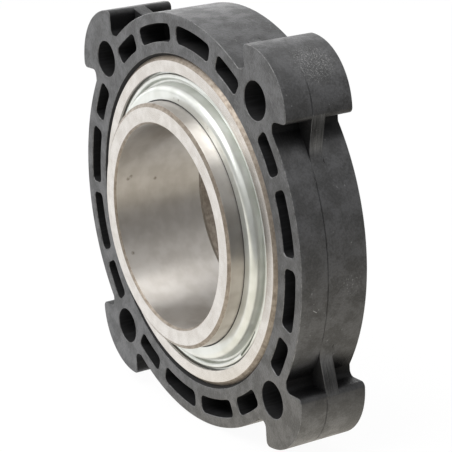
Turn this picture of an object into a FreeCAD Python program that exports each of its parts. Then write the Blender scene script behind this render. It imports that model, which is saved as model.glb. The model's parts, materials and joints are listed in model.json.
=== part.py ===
import FreeCAD, Part
import math
import os

# Square four-lug flange bearing: a deep-groove ball bearing with an extended inner ring,
# moulded into a ribbed plastic housing. Millimetres. The shaft axis is Y and the origin is on
# it at the housing's middle plane. Front is -Y, up is +Z. Every radius is from the shaft axis
# unless its name says otherwise, and "out" along Y is away from the middle plane.

# Shaft and inner ring
BORE_D = 55.0            # ground shaft bore
SHOULDER_WALL = 5.5      # from the bore to the shoulder that the seal lips run on
INNER_W = 32.6           # the ring stands well proud of the housing at both sides
BORE_CHAMFER = 0.55      # at the front of the bore, left unground
FACE_CHAMFER = 1.0       # between each end face and the shoulder, across the face
FACE_CHAMFER_L = 0.55    # and along the shoulder
RELIEF_DEPTH = 1.5       # the bore's rear end is turned larger and left unground
RELIEF_L = 5.8           # how far the relief and its slope reach in from the rear face

# Balls and raceways
BALL_COUNT = 12
BALL_D = 11.1
BALL_PLAY = 0.02         # radial room at each raceway
RACE_CONFORMITY = 1.04   # raceway radius over ball radius

# Outer ring
RING_SECTION = 17.5      # from the bore to the outer ring's outside
RING_PROUD = 0.1         # ring face over the housing face
RING_CHAMFER = 1.6       # on the outside corners, left unground
RACE_SHOULDER_H = 2.8    # raceway bottom to the shoulder beside it
SEAL_STEP = 1.3          # from that shoulder out to the seal land
SEAL_GROOVE = 0.6        # depth of the groove that holds the shield's rim
SEAL_LAND_W = 0.75       # land between the ring's face and the groove
SEAL_GROOVE_W = 1.2

# Shields, pressed from zinc-plated sheet, and their rubber lips
SHEET_T = 0.45
SHIELD_PROUD = 2.05      # flat inner part over the ring's face
VALLEY_CLEAR = 0.5       # between the pressed valley and the cage
VALLEY_W = 1.0
BEAD_W = 0.8             # rolled bead beside the ring
BEAD_SUNK = 0.45         # the bead's top lies this far under the ring's face
BEAD_GAP = 0.6           # open groove between the bead and the seal land
BEND_R = 0.42            # centre-line radius of the valley's bends
BEAD_BEND_R = 0.33       # centre-line radius of the bead's bends
RIM_BEND_R = 0.29        # centre-line radius where the sheet turns out to its rim
SHOULDER_BEND_R = 0.85   # centre-line radius where the flat part turns down
BEAD_LEAN = 0.11         # how far the bead's outer side leans out towards the rim
RIM_ROOM = 0.1           # room past the sheet's rim in the ring's groove
LIP_GAP = 0.04           # running room between the lip and the inner ring
LIP_W = 0.35             # rubber that shows inside the sheet's edge
LIP_BACK_W = 1.3         # rubber bonded behind the sheet
LIP_BACK_T = 0.6

# Cage, two pressed ribbons riveted together
CAGE_T = 0.55
CAGE_BALL_GAP = 0.1
CAGE_INSIDE = 1.9        # ribbon's edge inside the pitch circle
CAGE_OUTSIDE = 1.7       # ribbon's edge outside the pitch circle
RIVET_D = 1.6
RIVET_HEAD_D = 2.7
RIVET_HEAD_H = 0.6
RIVET_FLAT_D = 1.35      # flat top of the head
RIVET_ROUND_D = 2.27     # where the head's round side breaks
RIVET_ROUND_H = 0.43     # and how high that is over the ribbon

# Housing moulding
HOUSING_W = 19.5
SEAT_WALL = 3.3          # plastic round the outer ring, inside the pockets
POCKET_W = 4.8           # radial width of the coring pockets
RIM_WALL = 2.9           # plastic outside the pockets
MID_WEB = 3.8            # floor left between front and rear pockets
LIP_OVER = 0.45          # plastic moulded over the ring's chamfer
LIP_FLARE = 0.8          # and how far that lip opens to the face
EDGE_R = 0.3             # rounding of the outer edges
POCKET_R = 1.5           # corner radius of the pockets
AXIS_RIB = 3.2           # rib on the vertical and horizontal centre lines
SIDE_RIB = 3.6           # rib between the long and the short pockets
LONG_POCKET = 18.8       # degrees of arc
SHORT_POCKET = 12.5      # degrees of arc

# Lugs
BOLT_CIRCLE_D = 110.0
BOLT_HOLE_D = 10.0
LUG_R = 16.35            # outer arc of a lug
LUG_SETBACK = 4.1        # from the hole's centre lines to the lug's two end faces
NECK_WALL = 2.2          # plastic between the hole and the notch beside the lug
NECK_R = 1.6             # inside corner of the notch
CORNER_R = 1.5           # outer corners of a lug, where its arc ends
WEB_LEAN = 14.5          # degrees that the web's edge leans in from the lug's corner
WEB_FILLET = 7.0         # web's edge to the rim

# Worked out from the sizes above
BORE_R = BORE_D / 2
SHOULDER_R = BORE_R + SHOULDER_WALL
OUTER_R = BORE_R + RING_SECTION
BALL_R = BALL_D / 2
PITCH_R = (BORE_R + OUTER_R) / 2
RACE_R = BALL_R * RACE_CONFORMITY
RING_HALF = HOUSING_W / 2 + RING_PROUD
OUTER_RACE_R = PITCH_R + BALL_R + BALL_PLAY
INNER_RACE_R = PITCH_R - BALL_R - BALL_PLAY
RACE_SHOULDER_R = OUTER_RACE_R - RACE_SHOULDER_H
LAND_R = RACE_SHOULDER_R + SEAL_STEP
CAGE_REACH = BALL_R + CAGE_BALL_GAP + CAGE_T
POCKET_IN_R = OUTER_R + SEAT_WALL
POCKET_OUT_R = POCKET_IN_R + POCKET_W
RIM_R = POCKET_OUT_R + RIM_WALL
HOLE_AT = BOLT_CIRCLE_D / 2 * math.sqrt(0.5)
HOLE_R = BOLT_HOLE_D / 2
LUG_AT = HOLE_AT - LUG_SETBACK
LUG_MID = LUG_AT + CORNER_R
LUG_FAR = LUG_MID + LUG_R
NECK_AT = HOLE_AT + HOLE_R + NECK_WALL
LIP_R = SHOULDER_R + LIP_GAP
BALL_STEP = 360.0 / BALL_COUNT

AXIS = FreeCAD.Vector(0, 1, 0)
CENTRE = FreeCAD.Vector(0, 0, 0)
TURNS = (0, 90, 180, 270)   # the four lugs
PAST = 1.0                  # how far a cutting tool runs past the face it opens
FILLET_SHARE = 0.9          # of a short run's length that its rounding may take
TOUCH = 0.001               # two places closer than this are the same


def in_section(r, y):
    """A point of a turned section: radius and place along the shaft."""
    return FreeCAD.Vector(r, y, 0)


def turned(edges):
    """Solid of revolution about the shaft axis from a closed section."""
    return Part.Face(Part.Wire(edges)).revolve(CENTRE, AXIS, 360)


def polyline(points):
    """Closed loop of straight edges through the points."""
    return Part.makePolygon(points + points[:1]).Edges


def around(shape, degrees):
    """Copy turned about the shaft axis."""
    copy = shape.copy()
    copy.rotate(CENTRE, AXIS, degrees)
    return copy


def at_rear(shape):
    """The front piece mirrored to the rear side."""
    return shape.mirror(CENTRE, AXIS)


def prism(edges, low, high):
    """Closed outline in the XZ plane, carried along Y from low to high."""
    face = Part.Face(Part.Wire(edges))
    face.translate(AXIS * low)
    return face.extrude(AXIS * (high - low))


def edges_along_y(shape, spots):
    """Edges parallel to the shaft that stand over the given (x, z) spots."""
    found = []
    for edge in shape.Edges:
        ends = [vertex.Point for vertex in edge.Vertexes]
        if len(ends) < 2 or (ends[0] - ends[1]).cross(AXIS).Length > TOUCH:
            continue
        if any(math.hypot(ends[0].x - x, ends[0].z - z) < TOUCH for x, z in spots):
            found.append(edge)
    return found


def four_ways(x, z):
    """A spot and its mirror twins in each quadrant, both ways round."""
    return [(i * a, j * b) for a, b in ((x, z), (z, x)) for i in (1, -1) for j in (1, -1)]


def rounded(shape, radius, spots):
    """The edges over the spots rounded. A spot that other material covers has no edge."""
    edges = edges_along_y(shape, spots)
    return shape.makeFillet(radius, edges) if edges else shape


def tangent_path(points, radii):
    """Straight runs through the points, with an arc of the given radius at each inner point."""
    edges = []
    start = points[0]
    for before, corner, after, radius in zip(points, points[1:], points[2:], radii):
        back = (before - corner).normalize()
        ahead = (after - corner).normalize()
        half = back.getAngle(ahead) / 2
        enter = corner + back * (radius / math.tan(half))
        leave = corner + ahead * (radius / math.tan(half))
        middle = corner + (back + ahead).normalize() * (radius / math.sin(half) - radius)
        edges.append(Part.LineSegment(start, enter).toShape())
        edges.append(Part.Arc(enter, middle, leave).toShape())
        start = leave
    edges.append(Part.LineSegment(start, points[-1]).toShape())
    return edges


def side_of(points, offset):
    """The same run of points moved sideways by an offset, square to each straight run."""
    runs = [(b - a).normalize() for a, b in zip(points, points[1:])]
    across = [FreeCAD.Vector(-run.y, run.x, 0) for run in runs]
    moved = [points[0] + across[0] * offset]
    for corner, left, right in zip(points[1:-1], across, across[1:]):
        bisector = (left + right).normalize()
        moved.append(corner + bisector * (offset / bisector.dot(left)))
    moved.append(points[-1] + across[-1] * offset)
    return moved


def sheet_section(points, radii, thickness):
    """Closed section of bent sheet about a centre line with its bend radii."""
    left = side_of(points, thickness / 2)
    right = side_of(points, -thickness / 2)
    left_radii = []
    right_radii = []
    for a, b, c, radius in zip(points, points[1:], points[2:], radii):
        turns_left = (b - a).cross(c - b).z > 0
        grow = -thickness / 2 if turns_left else thickness / 2
        left_radii.append(radius + grow)
        right_radii.append(radius - grow)
    ends = [Part.LineSegment(left[-1], right[-1]).toShape(),
            Part.LineSegment(right[0], left[0]).toShape()]
    return Part.__sortEdges__(tangent_path(left, left_radii) + tangent_path(right, right_radii) + ends)


def race_arc(centre_r, bottom_r, edge_r):
    """Raceway groove in a section, from its front edge through its bottom to its rear edge."""
    half_width = math.sqrt(RACE_R ** 2 - (edge_r - centre_r) ** 2)
    front = in_section(edge_r, -half_width)
    rear = in_section(edge_r, half_width)
    return Part.Arc(front, in_section(bottom_r, 0), rear).toShape(), front, rear


def inner_ring():
    """Extended inner ring: bore, unground rear relief, shoulder and raceway."""
    half = INNER_W / 2
    relief_r = BORE_R + RELIEF_DEPTH
    race, front, rear = race_arc(INNER_RACE_R + RACE_R, INNER_RACE_R, SHOULDER_R)
    outside = [
        rear,
        in_section(SHOULDER_R, half - FACE_CHAMFER_L),
        in_section(SHOULDER_R - FACE_CHAMFER, half),
        in_section(relief_r, half),
        in_section(relief_r, half - RELIEF_L + RELIEF_DEPTH),
        in_section(BORE_R, half - RELIEF_L),
        in_section(BORE_R, -half + BORE_CHAMFER),
        in_section(BORE_R + BORE_CHAMFER, -half),
        in_section(SHOULDER_R - FACE_CHAMFER, -half),
        in_section(SHOULDER_R, -half + FACE_CHAMFER_L),
        front,
    ]
    return turned(Part.makePolygon(outside).Edges + [race])


def outer_ring():
    """Outer ring: raceway, and at each side the seal groove, seal land and outside chamfer."""
    race, front, rear = race_arc(OUTER_RACE_R - RACE_R, OUTER_RACE_R, RACE_SHOULDER_R)
    groove_out = RING_HALF - SEAL_LAND_W
    groove_in = groove_out - SEAL_GROOVE_W
    half_side = [
        (RACE_SHOULDER_R, groove_in),
        (LAND_R + SEAL_GROOVE, groove_in),
        (LAND_R + SEAL_GROOVE, groove_out),
        (LAND_R, groove_out),
        (LAND_R, RING_HALF),
        (OUTER_R - RING_CHAMFER, RING_HALF),
        (OUTER_R, RING_HALF - RING_CHAMFER),
    ]
    rear_side = [in_section(r, y) for r, y in half_side]
    front_side = [in_section(r, -y) for r, y in reversed(half_side)]
    return turned(Part.makePolygon([rear] + rear_side + front_side + [front]).Edges + [race])


def ball(number):
    """One ball of the set, counted from +X."""
    sphere = Part.makeSphere(BALL_R)
    sphere.rotate(CENTRE, FreeCAD.Vector(1, 0, 0), 90)
    sphere.translate(FreeCAD.Vector(PITCH_R, 0, 0))
    return around(sphere, number * BALL_STEP)


def front_cage_half():
    """Pressed ribbon: flat between the balls and dished round each one."""
    band_in = PITCH_R - CAGE_INSIDE
    band_out = PITCH_R + CAGE_OUTSIDE
    ribbon = turned(polyline([
        in_section(band_in, -CAGE_T), in_section(band_out, -CAGE_T),
        in_section(band_out, 0), in_section(band_in, 0)]))
    band = turned(polyline([
        in_section(band_in, -CAGE_REACH - PAST), in_section(band_out, -CAGE_REACH - PAST),
        in_section(band_out, 0), in_section(band_in, 0)]))
    at_pitch = FreeCAD.Vector(PITCH_R, 0, 0)
    dish = Part.makeSphere(CAGE_REACH, at_pitch)
    room = Part.makeSphere(CAGE_REACH - CAGE_T, at_pitch)
    rivet_hole = Part.makeCylinder(RIVET_D / 2, 2 * CAGE_T, at_pitch - AXIS * 1.5 * CAGE_T, AXIS)
    steps = [number * BALL_STEP for number in range(BALL_COUNT)]
    dishes = [around(dish, step).common(band) for step in steps]
    rooms = [around(room, step) for step in steps]
    holes = [around(rivet_hole, step + BALL_STEP / 2) for step in steps]
    return ribbon.fuse(dishes).cut(rooms + holes)


def cage_rivets():
    """One rivet between each two balls, with a round head on each ribbon."""
    top = CAGE_T + RIVET_HEAD_H
    half = [(RIVET_D / 2, CAGE_T), (RIVET_HEAD_D / 2, CAGE_T),
            (RIVET_ROUND_D / 2, CAGE_T + RIVET_ROUND_H), (RIVET_FLAT_D / 2, top), (0, top)]
    points = [in_section(r, -y) for r, y in reversed(half)] + [in_section(r, y) for r, y in half]
    rivet = turned(polyline(points))
    rivet.translate(FreeCAD.Vector(PITCH_R, 0, 0))
    places = [(number + 0.5) * BALL_STEP for number in range(BALL_COUNT)]
    return Part.makeCompound([around(rivet, place) for place in places])


def front_shield():
    """Pressed sheet: flat inner part, deep valley, rolled bead and a rim in the ring's groove."""
    flat_y = RING_HALF + SHIELD_PROUD - SHEET_T / 2
    valley_y = CAGE_REACH + VALLEY_CLEAR + SHEET_T / 2
    bead_y = RING_HALF - BEAD_SUNK - SHEET_T / 2
    rim_y = RING_HALF - SEAL_LAND_W - SEAL_GROOVE_W / 2 - SHEET_T / 2
    bead_out_r = LAND_R - BEAD_GAP - SHEET_T / 2
    bead_in_r = bead_out_r - BEAD_W
    valley_out_r = bead_in_r - SHEET_T
    valley_in_r = valley_out_r - VALLEY_W
    run = [
        (LIP_R + LIP_W, flat_y),
        (valley_in_r - SHEET_T / 2, flat_y),
        (valley_in_r, valley_y),
        (valley_out_r, valley_y),
        (bead_in_r, bead_y),
        (bead_out_r, bead_y),
        (bead_out_r + BEAD_LEAN, rim_y),
        (LAND_R + SEAL_GROOVE - RIM_ROOM, rim_y),
    ]
    radii = [SHOULDER_BEND_R, BEND_R, BEND_R, BEAD_BEND_R, BEAD_BEND_R, RIM_BEND_R]
    return turned(sheet_section([in_section(r, -y) for r, y in run], radii, SHEET_T))


def front_seal_lip():
    """Rubber lip bonded to the shield's inner edge and back."""
    face = RING_HALF + SHIELD_PROUD
    back = face - SHEET_T
    edge_r = LIP_R + LIP_W
    section = [
        (LIP_R, face), (edge_r, face), (edge_r, back), (edge_r + LIP_BACK_W, back),
        (edge_r + LIP_BACK_W, back - LIP_BACK_T / 2), (edge_r, back - LIP_BACK_T), (LIP_R, back - LIP_BACK_T)]
    return turned(polyline([in_section(r, -y) for r, y in section]))


def lug_outline():
    """Quarter round of a lug: its big arc, a small one at each end, and the two end faces."""
    diagonal = math.sqrt(0.5)
    near_end = LUG_FAR - CORNER_R
    corner_mid = (near_end + CORNER_R * diagonal, LUG_MID - CORNER_R * diagonal)
    top = LUG_MID + LUG_R * diagonal
    spots = [(LUG_MID, LUG_FAR), (top, top), (LUG_FAR, LUG_MID), corner_mid, (near_end, LUG_AT),
             (LUG_AT, LUG_AT), (LUG_AT, near_end), corner_mid[::-1]]
    points = [FreeCAD.Vector(x, 0, z) for x, z in spots]
    return [
        Part.Arc(points[0], points[1], points[2]).toShape(),
        Part.Arc(points[2], points[3], points[4]).toShape(),
        Part.LineSegment(points[4], points[5]).toShape(),
        Part.LineSegment(points[5], points[6]).toShape(),
        Part.Arc(points[6], points[7], points[0]).toShape(),
    ]


def lug_body():
    """Full-depth outline: the rim's disc, four quarter-round lugs and the necks beside them."""
    half = HOUSING_W / 2
    body = Part.makeCylinder(RIM_R, HOUSING_W, AXIS * -half, AXIS)
    lug = prism(lug_outline(), -half, half)
    neck = Part.makeBox(NECK_AT, HOUSING_W, NECK_AT, AXIS * -half)
    body = body.fuse([around(piece, turn) for piece in (lug, neck) for turn in TURNS]).removeSplitter()
    notch_run = LUG_AT - math.sqrt(RIM_R ** 2 - NECK_AT ** 2)
    body = rounded(body, min(NECK_R, FILLET_SHARE * notch_run), four_ways(LUG_AT, NECK_AT))
    rim_edges = [edge for edge in body.Edges
                 if all(abs(abs(vertex.Point.y) - half) < TOUCH for vertex in edge.Vertexes)]
    return body.makeFillet(EDGE_R, rim_edges)


def web_edge():
    """Where the web's leaning edge touches the lug's corner arc and where it meets the rim.

    Both come as (x, z), with the length of the edge between them.
    """
    lean = math.radians(WEB_LEAN)
    touch_x = LUG_FAR - CORNER_R + CORNER_R * math.cos(lean)
    touch_z = LUG_MID - CORNER_R * math.sin(lean)
    # Down the leaning edge by this run the radius from the shaft falls to the rim's
    along = touch_x * math.sin(lean) + touch_z * math.cos(lean)
    run = along - math.sqrt(along ** 2 - touch_x ** 2 - touch_z ** 2 + RIM_R ** 2)
    meet = (touch_x - run * math.sin(lean), touch_z - run * math.cos(lean))
    return (touch_x, touch_z), meet, run


def web_plate():
    """Web at the middle plane: it closes the notches each side of every lug and runs into the rim."""
    touch, meet, run = web_edge()
    half = MID_WEB / 2
    inside = SHOULDER_R
    plate = Part.makeCylinder(RIM_R, MID_WEB, AXIS * -half, AXIS)
    corners = [touch, meet, (inside, meet[1]), (inside, inside), (meet[1], inside),
               meet[::-1], touch[::-1]]
    tongue = prism(polyline([FreeCAD.Vector(x, 0, z) for x, z in corners]), -half, half)
    plate = plate.fuse([around(tongue, turn) for turn in TURNS]).removeSplitter()
    turn = math.radians(WEB_LEAN) + math.atan2(meet[1], meet[0])
    room = FILLET_SHARE * run / math.tan(turn / 2)
    return rounded(plate, min(WEB_FILLET, room), four_ways(*meet))


def seat_tool():
    """Room for the outer ring, with the two moulded lips left over its chamfers."""
    face = HOUSING_W / 2
    seat_y = RING_HALF - RING_CHAMFER
    edge_r = OUTER_R - LIP_OVER
    edge_y = seat_y + LIP_OVER
    flare = LIP_FLARE / (face - edge_y)
    side = [(OUTER_R, seat_y), (edge_r, edge_y), (edge_r + flare * (face + PAST - edge_y), face + PAST),
            (0, face + PAST)]
    points = [in_section(r, y) for r, y in side] + [in_section(r, -y) for r, y in reversed(side)]
    return turned(polyline(points))


def pocket(first, last):
    """Coring pocket from the front face to the middle web, between two angles in degrees."""
    start, middle, end = [
        FreeCAD.Vector(math.cos(math.radians(angle)), 0, math.sin(math.radians(angle)))
        for angle in (first, (first + last) / 2, last)]
    corners = [start * POCKET_IN_R, start * POCKET_OUT_R, end * POCKET_OUT_R, end * POCKET_IN_R]
    outline = [
        Part.LineSegment(corners[0], corners[1]).toShape(),
        Part.Arc(corners[1], middle * POCKET_OUT_R, corners[2]).toShape(),
        Part.LineSegment(corners[2], corners[3]).toShape(),
        Part.Arc(corners[3], middle * POCKET_IN_R, corners[0]).toShape(),
    ]
    solid = prism(outline, -HOUSING_W / 2 - PAST, -MID_WEB / 2)
    return rounded(solid, POCKET_R, [(point.x, point.z) for point in corners])


def front_pockets():
    """Sixteen pockets: a long and a short one each side of every centre line."""
    middle_r = (POCKET_IN_R + POCKET_OUT_R) / 2
    long_from = math.degrees(AXIS_RIB / 2 / middle_r)
    long_to = long_from + LONG_POCKET
    short_from = long_to + math.degrees(SIDE_RIB / middle_r)
    pair = [pocket(long_from, long_to), pocket(short_from, short_from + SHORT_POCKET)]
    pair += [shape.mirror(CENTRE, FreeCAD.Vector(0, 0, 1)) for shape in pair]
    return [around(shape, turn) for shape in pair for turn in TURNS]


def housing():
    """Ribbed housing moulded round the outer ring."""
    body = lug_body().fuse(web_plate()).removeSplitter()
    front = front_pockets()
    front_end = FreeCAD.Vector(HOLE_AT, -HOUSING_W / 2 - PAST, HOLE_AT)
    hole = Part.makeCylinder(HOLE_R, HOUSING_W + 2 * PAST, front_end, AXIS)
    holes = [around(hole, turn) for turn in TURNS]
    return body.cut([seat_tool()] + front + [at_rear(shape) for shape in front] + holes)


def build():
    """Every piece under its own name."""
    pieces = {
        "housing": housing(),
        "outer_ring": outer_ring(),
        "inner_ring": inner_ring(),
        "cage_rivets": cage_rivets(),
    }
    for number in range(BALL_COUNT):
        pieces["ball_%02d" % (number + 1)] = ball(number)
    both_sides = {"cage_%s_half": front_cage_half(), "%s_shield": front_shield(),
                  "%s_seal_lip": front_seal_lip()}
    for name, front in both_sides.items():
        pieces[name % "front"] = front
        pieces[name % "rear"] = at_rear(front)
    return pieces


os.makedirs("parts", exist_ok=True)
for node, shape in build().items():
    if not shape.isValid():
        raise ValueError(node + " is not a valid shape")
    shape.exportStep("parts/" + node + ".step")
    print(node, len(shape.Solids), "solid", round(shape.Volume / 1000, 3), "cm3")
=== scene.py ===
import functools
import json
import math

import bmesh
import bpy
import numpy as np
from mathutils import Matrix, Vector
from mathutils.geometry import delaunay_2d_cdt


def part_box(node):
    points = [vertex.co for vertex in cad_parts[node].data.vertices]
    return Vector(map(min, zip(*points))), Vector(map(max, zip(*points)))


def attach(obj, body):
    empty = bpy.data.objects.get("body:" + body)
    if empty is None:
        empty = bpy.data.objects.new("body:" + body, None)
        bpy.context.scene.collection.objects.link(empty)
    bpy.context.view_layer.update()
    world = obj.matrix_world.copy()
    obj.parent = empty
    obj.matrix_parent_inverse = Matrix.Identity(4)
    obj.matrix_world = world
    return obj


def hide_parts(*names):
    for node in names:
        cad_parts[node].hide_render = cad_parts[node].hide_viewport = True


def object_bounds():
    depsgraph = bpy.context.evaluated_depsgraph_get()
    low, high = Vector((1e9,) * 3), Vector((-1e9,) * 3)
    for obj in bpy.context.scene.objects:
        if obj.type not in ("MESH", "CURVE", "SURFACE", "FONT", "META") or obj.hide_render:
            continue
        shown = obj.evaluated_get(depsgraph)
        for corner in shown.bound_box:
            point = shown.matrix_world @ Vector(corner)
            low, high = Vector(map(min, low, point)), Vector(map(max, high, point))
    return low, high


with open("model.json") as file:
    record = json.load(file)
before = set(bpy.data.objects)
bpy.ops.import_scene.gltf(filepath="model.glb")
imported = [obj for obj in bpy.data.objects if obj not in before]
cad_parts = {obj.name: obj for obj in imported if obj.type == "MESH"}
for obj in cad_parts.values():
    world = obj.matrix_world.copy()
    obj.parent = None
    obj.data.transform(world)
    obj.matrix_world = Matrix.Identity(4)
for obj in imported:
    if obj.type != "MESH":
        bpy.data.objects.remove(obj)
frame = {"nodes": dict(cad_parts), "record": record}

bl_info = {
    "name": "Flange bearing",
    "version": (1, 0, 0),
    "blender": (4, 5, 0),
    "location": "View3D > Sidebar > Bearing",
    "description": "Dresses a four-lug flange bearing: moulded housing, ground rings, shields and seal lips",
    "category": "Object",
}

# The shaft axis is Y, the front is -Y and up is +Z. Shapes are worked out in millimetres.
MM = 0.001
CAD_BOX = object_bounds()
MOUNTS = {mount["name"]: mount for mount in frame["record"]["mounts"]}


def reach(node):
    """Largest radius and half length of a node that is centred on the shaft axis, in mm."""
    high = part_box(node)[1]
    return high.x / MM, high.y / MM


# Sizes that the frame gives
RIM_R, HOUSING_HALF = reach("housing")
OUTER_R, RING_HALF = reach("outer_ring")
SHOULDER_R, INNER_HALF = reach("inner_ring")
BORE_R = MOUNTS["shaft_bore"]["dims"]["r_mm"]
BORE_L = MOUNTS["shaft_bore"]["dims"]["length_mm"]
HOLE_R = MOUNTS["bolt_holes"]["dims"]["hole_r_mm"]
BOLT_R = MOUNTS["bolt_holes"]["dims"]["pcd_mm"] / 2
SHIELD_FACE = -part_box("front_shield")[0].y / MM
GROOVE_R = reach("front_shield")[0]
BALL_R = (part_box("ball_01")[1].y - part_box("ball_01")[0].y) / MM / 2
PITCH_R = reach("ball_01")[0] - BALL_R

# Housing moulding, as in the solids
SEAT_WALL = 3.3
POCKET_W = 4.8
MID_WEB = 3.8
LIP_OVER = 0.45
LIP_FLARE = 0.8
LIP_ROUND = 0.4
POCKET_R = 1.5
AXIS_RIB = 3.2
SIDE_RIB = 3.6
LONG_POCKET = math.radians(18.8)
SHORT_POCKET = math.radians(12.5)
LUG_R = 16.35
LUG_SETBACK = 4.1
NECK_WALL = 2.2
NECK_R = 1.6
CORNER_R = 1.5
WEB_LEAN = math.radians(14.5)
WEB_FILLET = 7.0
HOLE_AT = BOLT_R * math.sqrt(0.5)
LUG_AT = HOLE_AT - LUG_SETBACK
LUG_MID = LUG_AT + CORNER_R
LUG_FAR = LUG_MID + LUG_R
NECK_AT = HOLE_AT + HOLE_R + NECK_WALL
POCKET_IN_R = OUTER_R + SEAT_WALL
POCKET_OUT_R = POCKET_IN_R + POCKET_W
POCKET_MID_R = (POCKET_IN_R + POCKET_OUT_R) / 2

# Fine forms of the moulding that only the scene has
POCKET_FOOT_R = 0.5      # fillet round a pocket's floor
SEAM_Y = -MID_WEB / 2    # the mould halves meet on the front side of the web
SEAM_CLEAR = 47.5        # on the upper half the seam shows only further than this from the middle
RIDGE_HALF = 0.06        # half width of the seam's ridge in a bolt hole, and that of its foot
RIDGE_FOOT = 0.25
WEB_ROUND_MIDDLE = 0.3   # how far in the middle of a web edge's rounding lies, as a share of its radius
DULL_SHADED_FLARE = 0.75        # share of the seat lip's flare, from the ring outwards, that is dull and painted dark as shade

# Rings, shields and lips, as in the solids
BORE_CHAMFER = 0.55
FACE_CHAMFER = 1.0
FACE_CHAMFER_L = 0.55
RELIEF_DEPTH = 1.5
RING_CHAMFER = 1.6
RACE_CONFORMITY = 1.04
BALL_PLAY = 0.02
RACE_SHOULDER_H = 2.8
SEAL_STEP = 1.3
SEAL_GROOVE = 0.6
SEAL_LAND_W = 0.75
SEAL_GROOVE_W = 1.2
SHEET_T = 0.45
VALLEY_W = 1.0
BEAD_W = 0.8
BEAD_GAP = 0.6
BEND_R = 0.42
BEAD_BEND_R = 0.33
RIM_BEND_R = 0.29
BEAD_LEAN = 0.11
LIP_GAP = 0.04
LIP_W = 0.35
LIP_BACK_W = 1.3
LIP_BACK_T = 0.6
RACE_R = BALL_R * RACE_CONFORMITY
OUTER_RACE_R = PITCH_R + BALL_R + BALL_PLAY
INNER_RACE_R = PITCH_R - BALL_R - BALL_PLAY
RACE_SHOULDER_R = OUTER_RACE_R - RACE_SHOULDER_H
LAND_R = RACE_SHOULDER_R + SEAL_STEP

# Rings, shields and lips, finer than in the solids
EDGE_BREAK = 0.06        # rounding of the rings' edges
LIP_EDGE_R = 0.1
VALLEY_SUNK = 1.7        # the valley's face under the outer ring's face
WALL_LEAN = 0.55         # how far the wall between the flat part and the valley leans
SHOULDER_BEND_R = 1.7    # bend from the flat part into that wall
BEAD_SUNK = 0.6          # the bead's top under the outer ring's face

# Where the part is marked, in mm
SCUFFS = [(47.4, 2.0, 47.6)]
STAINS = [(-26.49, -12.24, 7.37), (-26.33, -11.34, 7.95), (-26.84, -3.65, 6.0), (-24.19, -13.66, -13.08)]
SCRATCHES = [((42.05, -1.3, 51.18), (46.46, -1.47, 48.45)), ((54.73, -6.0, -11.9), (54.55, -5.0, -12.6))]
SPECKLED = [(55.4, 5.0, -7.2)]
STREAK_GAP = 0.3         # the web's streaks keep this far from the rim and the lugs
STREAKS_FULL = 1.5       # and are full this far from the rim
WEB_MARGIN = 0.05        # they end this far inside the web's faces
SEAM_MARGIN = 0.5        # painted edge highlights keep this far outside the web's faces
NOTCH_SHADE = (2.5, 9.0)   # distances from a notch's inner corner where its painted shade is deepest and where it ends
NOTCH_INNER = 1.0        # how far into the material that corner is taken
OPEN_EASE = 5.0
# Painted shade: dark green lines on the shield's bead, where the gap beside it casts shade.
GAP_SHADE_LINES = [((24.1, -9.5, -30.9), (28.4, -9.5, -26.7)), ((28.4, -9.5, -26.7), (31.4, -9.4, -22.5))]
NICKS = [(4.57, -11.9, 34.17), (2.2, -11.9, 34.3), (18.72, -11.9, 29.33)]

# How finely curves are divided, and how meshes are joined
TURN_STEPS = 384         # steps round the shaft in a turned piece
HOLE_STEPS = 96
ROUND_STEPS = 4          # steps in a rounded edge
FADE_STEPS = 4           # points over which a share fades out at the end of a run
POCKET_LONG_STEPS = 14
POCKET_SHORT_STEPS = 5
RACE_STEPS = 24
NOTCH_STEPS = 72         # steps along each way across a notch
ARC_STEP = math.radians(12)
PATH_STEP = 0.6          # mm along the housing's outline, and along its smaller arcs
NOTCH_ARC_STEP = 0.2
CORNER_ARC_STEP = 0.1
WELD = 0.002             # mm within which points are one
FLAT_WELD = 1e-6         # the same in a flat face, before it joins the rest
CREASE = math.radians(40)

# The camera, fitted to the photograph: where it stands from the part, and its roll
CAMERA_AZIMUTH = math.radians(59.944)
CAMERA_ELEVATION = math.radians(15.731)
CAMERA_ROLL = math.radians(-3.664)
CAMERA_DISTANCE = 520.84
CAMERA_ASIDE = 10.721
CAMERA_ABOVE = -0.961
CAMERA_FOCAL_PIXELS = 1963.1
PHOTO_PIXELS = 452
SENSOR = 36.0
NEAREST_SEEN = 0.01

# The stage, in metres, and the ways to its bright and dark sides
FLOOR_HALF = 3.0
FLOOR_GAP = 0.0002       # under the part, so that no face lies in the floor
DARK_WAY = (0.97, -0.24, 0.0)
REAR_WAY = (0.87, 0.46, 0.17)
BACKDROP_WAY = (-0.866, 0.5, 0.0)
BACKDROP_RISE = (0.5, 0.9)       # cosines from the backdrop's way between which it grows bright
REAR_RISE = (0.75, 0.95)
HIGH_RISE = (0.12, 0.65)         # sines of the height between which the room overhead takes over
TABLE_MIDDLE = (-0.05, 0.03)     # where the table changes, measured towards the dark side
TABLE_EDGE = (0.145, 0.155)
SHADOW_DEEPENS = (0.0, 0.04)     # and behind the part
CAMERA_SHARE = 0.95      # how much of the floor's white the camera sees. The rest keeps the shadow.
KEY_AT = (-0.8, -0.62, 0.42)
KEY_SIZE = 0.7
TOP_AT = (0.03, -0.43, 0.78)
TOP_SIZE = 0.6
WHITE = (1.0, 1.0, 1.0)

# Settings of a Map Range node that eases, and of a Mix node that blends colours
EASED = {"interpolation_type": "SMOOTHSTEP"}
BLENDED = {"data_type": "RGBA", "output": 2}


def linear(code):
    """Linear colour of an sRGB hex value."""
    channels = [int(code[i:i + 2], 16) / 255 for i in (1, 3, 5)]
    return [c / 12.92 if c <= 0.04045 else ((c + 0.055) / 1.055) ** 2.4 for c in channels]


# Outlines and sections


def along(start, end, steps):
    """Points from start to end in equal steps, both ends included."""
    t = np.linspace(0, 1, steps + 1)[:, None]
    return start * (1 - t) + end * t


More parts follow.
